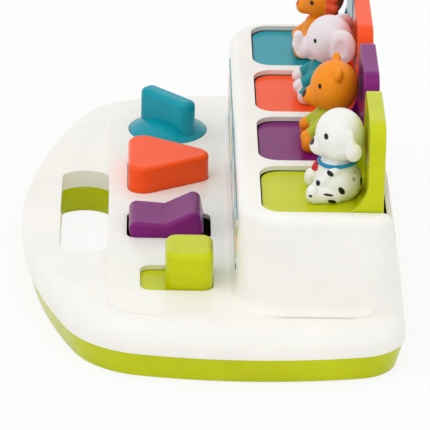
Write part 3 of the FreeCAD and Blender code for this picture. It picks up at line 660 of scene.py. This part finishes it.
@dataclass
class Housing:
    """The white upper shell, the green tray, the feet, the inner frame and its fasteners."""

    steel_nodes: tuple[str, ...] = ("housing_screws", "frame_screws", "hinge_rod", "lever_rod",
                                    "rocker_pin")

    def build(self, nodes: dict[str, bpy.types.Object]) -> None:
        """Dress the housing's solids.

        Args:
            nodes: the model's objects by name.
        """
        white = MouldedPlastic("white moulding", WHITE_SHELL, 0.22, 0.015)
        dress(nodes["top_housing"], white.material())
        dress(nodes["bottom_tray"], MouldedPlastic("green moulding", BASE_GREEN, 0.24).material())
        grey = MouldedPlastic("grey frame moulding", FRAME_GREY, 0.45).material()
        dress(nodes["mechanism_frame"], grey)
        for kind in Kind:
            dress(nodes["release_lever_" + kind.value], grey)
        dress(nodes["knob_cam"], grey)
        dress(nodes["foot_pads"], PadRubber("pad rubber").material())
        steel = PlainSteel("plain steel").material()
        for name in self.steel_nodes + tuple("figure_screw_" + kind.value for kind in Kind):
            dress(nodes[name], steel)


@dataclass
class FrontLabel:
    """The printed film on the block's front, with plain dots and rounded blots."""

    pitch: float = 64.0
    face_y: float = 11.6
    middle_z: float = 55.0

    def build(self, nodes: dict[str, bpy.types.Object]) -> None:
        """Dress the film with its pattern.

        Args:
            nodes: the model's objects by name.
        """
        patches = []
        for index in range(4):
            x = self.pitch * (index - 1.5)
            patches.append(self._blot(x, 0, 22.0, 13.0, CLOUD_WHITE))
            patches.append(self._blot(x, 0, 18.5, 10.0, BLOT_INKS[index]))
            patches.append(self._blot(x - 6, 1, 6.0, 7.5, BLOT_INKS[(index + 1) % 4]))
            patches.append(self._blot(x + 8, -1, 4.5, 4.5, BLOT_INKS[(index + 2) % 4]))
            patches.append(self._blot(x + self.pitch / 2, 8, 4.0, 6.5, BLOT_INKS[(index + 3) % 4]))
            patches.append(self._blot(x + self.pitch / 2, -9, 5.5, 3.2, BLOT_INKS[(index + 1) % 4]))
        film = PaintedVinyl("printed film", FILM_TEAL, tuple(patches), 0.2, 0.0)
        dress(nodes["front_label"], film.material())

    def _blot(self, x: float, up: float, half_x: float, half_z: float, colour: Colour) -> Patch:
        """Return one flat blot of the pattern."""
        return Patch((x, self.face_y, self.middle_z + up), (half_x, 30.0, half_z), colour, 0.04)


@dataclass
class Lids:
    """The four sprung lids, each with its coil spring round the hinge rod."""

    pitch: float = 64.0
    hinge_y: float = 77.1
    hinge_z: float = 74.4
    coil_radius: float = 4.0
    wire: float = 0.55
    half_length: float = 3.3
    turns: int = 5

    def build(self, nodes: dict[str, bpy.types.Object]) -> None:
        """Dress the lids and wind their springs.

        Args:
            nodes: the model's objects by name.
        """
        steel = PlainSteel("spring steel", SPRING_STEEL).material()
        for index, kind in enumerate(Kind):
            finish = MouldedPlastic(kind.value + " lid moulding", LID_COLOUR[kind], 0.2, 0.04)
            dress(nodes["lid_" + kind.value], finish.material())
            x = self.pitch * (index - 1.5)
            coil = tube("lid_coil_" + kind.value, self._winding(x), self.wire)
            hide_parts("lid_spring_" + kind.value)
            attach(coil, "lid_unit_" + kind.value)
            dress(coil, steel)

    def _winding(self, x: float) -> list[Vector]:
        """Return the coil's centreline round the rod.

        Args:
            x: the coil's middle along the rod.

        Returns:
            The points of the centreline, in millimetres.
        """
        steps = COIL_STEPS * self.turns
        points = []
        for step in range(steps + 1):
            angle = 2 * math.pi * step * self.turns / steps
            along = x - self.half_length + 2 * self.half_length * step / steps
            points.append(Vector((along, self.hinge_y + self.coil_radius * math.cos(angle),
                                  self.hinge_z + self.coil_radius * math.sin(angle))))
        return points


@dataclass
class Controls:
    """The turning knob, pressing triangle, tilting rocker and sliding block."""

    spring_x: float = -45.0
    spring_y: float = -32.0
    spring_low: float = 3.3
    spring_high: float = 25.6
    spring_radius: float = 3.0
    wire: float = 0.45
    turns: int = 7
    press_keep: float = 0.865

    def build(self, nodes: dict[str, bpy.types.Object]) -> None:
        """Dress the controls and wind the button's spring.

        Args:
            nodes: the model's objects by name.
        """
        dress(nodes["turn_knob"], MouldedPlastic("teal knob moulding", TEAL, 0.26).material())
        orange = MouldedPlastic("orange button moulding", ORANGE, 0.26)
        dress(nodes["push_button"], orange.material())
        dress(nodes["rocker"], MouldedPlastic("purple rocker moulding", PURPLE, 0.26).material())
        dress(nodes["slider"], MouldedPlastic("green slider moulding", LID_GREEN, 0.26).material())
        coil = tube("button_coil", self._winding(), self.wire)
        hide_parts("button_spring")
        dress(coil, PlainSteel("button spring steel", SPRING_STEEL).material())
        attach(coil, "base")
        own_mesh(coil)

    def _winding(self) -> list[Vector]:
        """Return the spring's centreline with its closed end turns.

        Returns:
            The points of the centreline, in millimetres.
        """
        steps = COIL_STEPS * self.turns
        low, high = self.spring_low + self.wire, self.spring_high - self.wire
        points = []
        for step in range(steps + 1):
            angle = 2 * math.pi * step * self.turns / steps
            share = min(1.0, max(0.0, (step / steps - 0.1) / 0.8))
            points.append(Vector((self.spring_x + self.spring_radius * math.cos(angle),
                                  self.spring_y + self.spring_radius * math.sin(angle),
                                  low + (high - low) * (0.04 * step / steps + 0.96 * share))))
        return points


@dataclass
class Figure:
    """A seated animal on its lid's plate: what all four share."""

    x: float
    kind: Kind
    floor: float = 78.7
    rear: float = 75.6
    body_y: float = 61.8
    head_y: float = 62.6
    head_z: float = 111.4
    eye_forward: float = 7.6
    eye_side: float = 11.0
    eye_up: float = 3.2

    def at(self, side: float, forward: float, up: float) -> Point:
        """Return a point from the body's middle: sideways, towards the handle, above the plate."""
        return self.x + side, self.body_y - forward, self.floor + up

    def face(self, side: float, forward: float, up: float) -> Point:
        """Return a point from the head's middle: sideways, towards the handle, upwards."""
        return self.x + side, self.head_y - forward, self.head_z + up

    def eyes(self) -> list[Patch]:
        """Return the two painted eyes."""
        return [Patch(self.face(side * self.eye_side, self.eye_forward, self.eye_up),
                      (2.6, 1.25, 1.75), INK, 0.2, glossy=True) for side in (-1, 1)]

    def trunk(self) -> list[Lump]:
        """Return the seated trunk with its stretched legs.

        Returns:
            The trunk's lumps.
        """
        lumps = [Lump(self.at(0, -0.6, 8.2), (12.6, 12.4, 12.0)),
                 Lump(self.at(0, -0.2, 14.5), (10.2, 10.2, 9.0))]
        for side in (-1, 1):
            lumps.append(Lump(self.at(side * 8.4, 1.0, 4.2), (5.2, 0, 0),
                              self.at(side * 10.2, 11.6, 3.6), 4.3))
            lumps.append(Lump(self.at(side * 10.4, 12.4, 4.6), (4.3, 3.6, 5.0)))
        return lumps

    def arms(self, hand: Point, swell: float = 3.4) -> list[Lump]:
        """Return both arms, from the shoulders to the hands.

        Args:
            hand: sideways, forward and up of the hand from the plate's middle.
            swell: the hand's radius.

        Returns:
            The arms' lumps.
        """
        lumps = []
        for side in (-1, 1):
            shoulder = self.at(side * 7.6, 1.0, 17.0)
            tip = self.at(side * hand[0], hand[1], hand[2])
            lumps.append(Lump(shoulder, (3.6, 0, 0), tip, swell))
        return lumps

    def show(self, skin: Skin, finish: PaintedVinyl, node: str, slot: str) -> bpy.types.Object:
        """Build a skin in place of a solid, on this figure's lid.

        Args:
            skin: the shape.
            finish: its vinyl.
            node: the solid that it stands for.
            slot: a material slot's name, not used.

        Returns:
            The piece.
        """
        piece = skin.build()
        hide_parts(node)
        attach(piece, "lid_unit_" + self.kind.value)
        dress(piece, finish.material())
        return piece


@dataclass
class Dog(Figure):
    """The white puppy with black spots, a blue collar and a red tag."""

    eye_up: float = 3.4

    def spots(self) -> tuple[Patch, ...]:
        """Return the painted spots of the body, mirrored with small shifts.

        Returns:
            The spots.
        """
        marks = ((14.0, -8.4, 12.6, 1.6, 2.6, 30.0), (13.0, -2.0, 7.4, 1.4, 2.4, 35.0),
                 (12.0, 4.0, 16.0, 1.3, 2.0, 60.0), (13.0, 10.0, 10.6, 1.4, 1.6, 0.0),
                 (14.0, 4.6, 5.6, 2.6, 0.6, -8.0), (14.0, -9.5, 3.8, 1.3, 2.0, 10.0),
                 (12.0, 15.4, 11.0, 1.2, 0.9, 0.0), (13.0, 2.6, 1.6, 2.4, 1.3, -20.0),
                 (13.0, 13.6, 5.2, 0.9, 0.7, 0.0), (11.0, -13.0, 8.0, 1.1, 1.7, 0.0))
        patches = []
        for side, shift in ((1, 0.0), (-1, 1.7)):
            for out, forward, up, half_y, half_z, turn in marks:
                patches.append(Patch(self.at(side * out, forward - shift, up + shift * 0.6),
                                     (5.5, half_y, half_z), INK, 0.22, turn))
        for side, up in ((-5.0, 14.0), (4.0, 9.0), (-1.0, 4.0), (7.0, 16.0)):
            patches.append(Patch(self.at(side, -12.0, up), (1.9, 4.0, 2.3), INK, 0.2))
        return tuple(patches)

    def build(self) -> None:
        """Build the puppy's body, head, collar and tag."""
        body = Skin("dog_body_skin", self.trunk() + self.arms((7.4, 9.6, 7.6)),
                    floor=self.floor, rear=self.rear)
        coat = PaintedVinyl("spotted vinyl", DOG_WHITE, self.spots(), 0.4)
        self.show(body, coat, "dog_body", "dog_vinyl")
        head = [Lump(self.face(0, 0, 0.4), (13.2, 12.4, 13.4)),
                Lump(self.face(0, -0.5, -3.6), (13.0, 12.0, 9.4)),
                Lump(self.face(0, 6.0, -4.6), (7.4, 0, 0), self.face(0, 10.2, -5.8), 5.0),
                Lump(self.face(0, 12.0, -4.0), (2.6, 1.9, 2.0))]
        for side in (-1, 1):
            head.append(Lump(self.face(side * 12.2, -4.6, 5.4), (2.0, 0, 0),
                             self.face(side * 13.8, -6.0, -4.0), 2.6))
            head.append(Lump(self.face(side * 13.8, -6.4, -3.6), (2.2, 4.4, 5.2)))
        nose = Patch(self.face(0, 13.0, -3.8), (3.2, 2.4, 2.5), INK, 0.2, glossy=True)
        mouth = Patch(self.face(0, 10.8, -10.0), (3.6, 3.2, 0.5), LIP_BROWN, 0.5)
        head_finish = PaintedVinyl("dog face vinyl", DOG_WHITE, (nose, mouth, *self.eyes()), 0.4)
        self.show(Skin("dog_head_skin", head, rear=self.rear), head_finish,
                  "dog_head", "dog_vinyl")
        self._collar()

    def _collar(self) -> None:
        """Build the collar's ring and its hanging tag."""
        middle = Vector(self.at(0, -0.4, 19.2))
        route = []
        for step in range(COLLAR_STEPS):
            angle = 2 * math.pi * step / COLLAR_STEPS
            route.append(middle + Vector((9.6 * math.cos(angle), 9.6 * math.sin(angle),
                                          0.8 * math.sin(angle))))
        collar = tube("dog_collar", route, 1.0, closed=True)
        drop_shape = Lump(self.at(0, 10.4, 17.6), (1.1, 0, 0), self.at(0, 11.2, 14.6), 1.8)
        tag = Skin("dog_tag", [drop_shape],
                   voxel=0.25, smoothing=4).build()
        for piece, colour, name in ((collar, COLLAR_BLUE, "blue collar vinyl"),
                                    (tag, TAG_RED, "red tag vinyl")):
            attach(piece, "lid_unit_dog")
            dress(piece, PaintedVinyl(name, colour, (), 0.36).material())


@dataclass
class Bear(Figure):
    """The orange bear in a green shirt."""

    eye_forward: float = 8.4
    eye_up: float = 3.7

    def build(self) -> None:
        """Build the bear's body and head."""
        body = Skin("bear_body_skin", self.trunk() + self.arms((8.6, 13.0, 7.4), 3.6),
                    floor=self.floor, rear=self.rear)
        hands = [Patch(self.at(side * 8.8, 14.2, 7.0), (4.8, 4.6, 4.9), SKIN_ORANGE, 0.1)
                 for side in (-1, 1)]
        legs = [Patch(self.at(0, 12.0, 2.0), (30.0, 16.0, 7.4), SKIN_ORANGE, 0.06)]
        finish = PaintedVinyl("green shirt vinyl", SHIRT_GREEN, (*legs, *hands), 0.44)
        self.show(body, finish, "bear_body", "shirt_green")
        head = [Lump(self.face(0, 0, 0.0), (13.4, 12.6, 13.4)),
                Lump(self.face(0, 6.0, -4.6), (7.6, 0, 0), self.face(0, 12.4, -5.6), 4.6),
                Lump(self.face(0, 14.6, -4.2), (2.4, 1.8, 1.9))]
        for side in (-1, 1):
            head.append(Lump(self.face(side * 9.8, -1.0, 10.2), (4.3, 2.6, 4.3)))
        hollows = [Lump(self.face(side * 10.2, 2.6, 10.6), (2.5, 1.8, 2.6))
                   for side in (-1, 1)]
        nose = Patch(self.face(0, 15.6, -4.0), (3.2, 2.5, 2.6), INK, 0.2, glossy=True)
        finish = PaintedVinyl("bear vinyl", SKIN_ORANGE, (nose, *self.eyes()), 0.44)
        self.show(Skin("bear_head_skin", head, hollows, rear=self.rear), finish,
                  "bear_head", "bear_vinyl")


@dataclass
class Elephant(Figure):
    """The pale elephant in a teal shirt, its trunk curled up in front."""

    eye_forward: float = 8.5
    eye_up: float = 2.9

    def build(self) -> None:
        """Build the elephant's body and head."""
        body = Skin("elephant_body_skin", self.trunk() + self.arms((7.2, 14.6, 8.6), 3.8),
                    floor=self.floor, rear=self.rear)
        hands = [Patch(self.at(side * 7.2, 16.0, 8.2), (5.2, 4.6, 5.2), PALE_GREY, 0.1)
                 for side in (-1, 1)]
        legs = [Patch(self.at(0, 12.0, 1.0), (30.0, 15.0, 6.4), PALE_GREY, 0.06)]
        finish = PaintedVinyl("teal shirt vinyl", SHIRT_TEAL, (*legs, *hands), 0.44)
        self.show(body, finish, "elephant_body", "shirt_teal")
        head = [Lump(self.face(0, 0, -0.2), (13.2, 12.4, 13.2)),
                Lump(self.face(0, 8.0, -2.6), (6.4, 0, 0), self.face(0, 13.6, -6.4), 4.6),
                Lump(self.face(0, 13.6, -6.4), (4.4, 0, 0), self.face(0, 16.6, -3.0), 3.3),
                Lump(self.face(0, 16.6, -3.0), (3.2, 0, 0), self.face(0, 16.8, 2.2), 2.6),
                Lump(self.face(0, 9.0, -9.4), (4.4, 2.6, 2.2))]
        for side in (-1, 1):
            head.append(Lump(self.face(side * 13.4, -6.0, 0.8), (3.0, 8.0, 9.4),
                             turn=(0, side * -10, side * -24)))
        hollows = [Lump(self.face(side * 17.4, -4.0, 0.6), (2.6, 5.8, 7.0),
                        turn=(0, side * -10, side * -24))
                   for side in (-1, 1)]
        blush = [Patch(self.face(side * 15.0, -7.0, 0.8), (4.5, 5.0, 6.0), BLUSH, 0.7)
                 for side in (-1, 1)]
        finish = PaintedVinyl("elephant vinyl", PALE_GREY, (*blush, *self.eyes()), 0.42)
        self.show(Skin("elephant_head_skin", head, hollows, rear=self.rear), finish,
                  "elephant_head", "elephant_vinyl")


@dataclass
class Lion(Figure):
    """The orange lion with its red mane."""

    eye_up: float = -1.0

    def build(self) -> None:
        """Build the lion's body and head."""
        body = Skin("lion_body_skin", self.trunk() + self.arms((8.4, 12.6, 6.0), 3.8),
                    floor=self.floor, rear=self.rear)
        finish = PaintedVinyl("lion body vinyl", SKIN_ORANGE, (), 0.44)
        self.show(body, finish, "lion_body", "lion_vinyl")
        head = [Lump(self.face(0, 1.0, -0.4), (11.6, 11.8, 12.0)),
                Lump(self.face(0, 6.0, -4.4), (6.8, 0, 0), self.face(0, 10.8, -6.0), 4.8),
                Lump(self.face(0, 12.4, -5.0), (2.4, 1.7, 1.7))]
        locks = 14
        for lock in range(locks):
            angle = 2 * math.pi * lock / locks
            side, up = math.sin(angle), math.cos(angle)
            head.append(Lump(self.face(side * 9.6, -3.0, up * 9.6), (4.0, 0, 0),
                             self.face(side * 12.8, -5.0, up * 12.6), 2.6))
        for side in (-1, 1):
            head.append(Lump(self.face(side * 8.6, 1.6, 10.2), (3.1, 2.2, 3.1)))
        mane = Patch(self.face(0, -14.0, 0), (40.0, 14.6, 40.0), MANE_RED, 0.05)
        nose = Patch(self.face(0, 13.4, -4.6), (2.8, 2.2, 2.0), NOSE_RED, 0.2)
        finish = PaintedVinyl("lion vinyl", SKIN_ORANGE, (mane, nose, *self.eyes()), 0.44)
        self.show(Skin("lion_head_skin", head, rear=self.rear), finish,
                  "lion_head", "lion_vinyl")


@dataclass
class Studio:
    """Plain soft studio: pale floor, even light and the photograph's camera."""

    azimuth: float = 1.419
    elevation: float = 24.408
    roll: float = 1.333
    focal_px: float = 4106.156
    image_px: float = 430.0
    sensor_mm: float = 36.0
    place: Point = (1.98541, -0.04590, 0.92401)
    sky: float = 0.80
    floor_half: float = 9.0
    floor_glow: float = 0.86

    def build(self) -> None:
        """Build the floor, the lights and the camera."""
        self._floor()
        self._world()
        self._lamps()
        self._camera()

    def _floor(self) -> None:
        """Lay the pale floor that keeps a soft shadow."""
        mesh = bpy.data.meshes.new("floor")
        half = self.floor_half
        corners = [(-half, -half, 0), (half, -half, 0), (half, half, 0), (-half, half, 0)]
        mesh.from_pydata(corners, [], [(0, 1, 2, 3)])
        floor = bpy.data.objects.new("floor", mesh)
        bpy.context.scene.collection.objects.link(floor)
        graph = Graph("pale floor")
        rays = graph.node("ShaderNodeLightPath")
        seen = Value(graph, rays.outputs["Is Camera Ray"])
        seen = seen.at_least(Value(graph, rays.outputs["Is Glossy Ray"]))
        seen = seen.at_least(Value(graph, rays.outputs["Is Transmission Ray"]))
        matt = graph.node("ShaderNodeBsdfDiffuse", inputs={"Color": (0.9, 0.9, 0.9)})
        glow = graph.node("ShaderNodeEmission", inputs={"Color": (1.0, 1.0, 1.0), "Strength": 1.0})
        both = graph.node("ShaderNodeMixShader", inputs={
            0: seen * self.floor_glow, 1: matt.outputs[0], 2: glow.outputs[0]})
        graph.node("ShaderNodeOutputMaterial", inputs={"Surface": both.outputs[0]})
        mesh.materials.append(graph.material)

    def _world(self) -> None:
        """Light evenly, and show white to the camera, gloss and glass."""
        world = bpy.data.worlds.new("studio")
        bpy.context.scene.world = world
        world.use_nodes = True
        tree = world.node_tree
        tree.nodes.clear()
        rays = tree.nodes.new("ShaderNodeLightPath")
        seen = tree.nodes.new("ShaderNodeMath")
        seen.operation = "MAXIMUM"
        tree.links.new(rays.outputs["Is Camera Ray"], seen.inputs[0])
        tree.links.new(rays.outputs["Is Glossy Ray"], seen.inputs[1])
        clear = tree.nodes.new("ShaderNodeMath")
        clear.operation = "MAXIMUM"
        tree.links.new(seen.outputs[0], clear.inputs[0])
        tree.links.new(rays.outputs["Is Transmission Ray"], clear.inputs[1])
        strength = tree.nodes.new("ShaderNodeMapRange")
        strength.inputs["To Min"].default_value = self.sky
        strength.inputs["To Max"].default_value = 1.0
        tree.links.new(clear.outputs[0], strength.inputs["Value"])
        background = tree.nodes.new("ShaderNodeBackground")
        tree.links.new(strength.outputs[0], background.inputs["Strength"])
        background.inputs["Color"].default_value = (1.0, 1.0, 1.0, 1.0)
        end = tree.nodes.new("ShaderNodeOutputWorld")
        tree.links.new(background.outputs[0], end.inputs["Surface"])

    def _lamps(self) -> None:
        """Hang one large soft lamp above and one beside the camera."""
        for name, place, power, width in (("over", (0.35, -0.5, 1.4), 5.0, 1.3),
                                          ("side", (1.6, 0.9, 0.9), 3.0, 0.9)):
            light = bpy.data.lights.new(name, "AREA")
            light.energy = power
            light.size = width
            lamp = bpy.data.objects.new(name, light)
            lamp.location = place
            aim = Vector((0, 0, 0.05)) - Vector(place)
            lamp.rotation_euler = aim.to_track_quat("-Z", "Y").to_euler()
            bpy.context.scene.collection.objects.link(lamp)

    def _camera(self) -> None:
        """Set the camera at the photograph's angle."""
        turn, rise = math.radians(self.azimuth), math.radians(self.elevation)
        look = Vector((-math.cos(turn) * math.cos(rise), math.sin(turn) * math.cos(rise),
                       -math.sin(rise)))
        right = Vector((math.sin(turn), math.cos(turn), 0))
        up = right.cross(look)
        lean = math.radians(self.roll)
        tilted_right = right * math.cos(lean) + up * math.sin(lean)
        tilted_up = up * math.cos(lean) - right * math.sin(lean)
        camera = bpy.data.cameras.new("camera")
        camera.sensor_width = self.sensor_mm
        camera.lens = self.focal_px * self.sensor_mm / self.image_px
        camera.clip_end = 100
        item = bpy.data.objects.new("camera", camera)
        bpy.context.scene.collection.objects.link(item)
        matrix = Matrix((tilted_right, tilted_up, -look)).transposed().to_4x4()
        matrix.translation = Vector(self.place)
        item.matrix_world = matrix
        bpy.context.scene.camera = item
        bpy.context.scene.view_settings.view_transform = "Standard"


def main() -> None:
    """Build every sub-assembly in order."""
    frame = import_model()
    nodes = frame["nodes"]
    Housing().build(nodes)
    FrontLabel().build(nodes)
    Lids().build(nodes)
    Controls().build(nodes)
    pitch = Lids().pitch
    makers: tuple[Callable[..., Figure], ...] = (Lion, Elephant, Bear, Dog)
    for index, (kind, maker) in enumerate(zip(Kind, makers)):
        maker(pitch * (index - 1.5), kind).build()
    Studio().build()


if __name__ == "__main__":
    main()
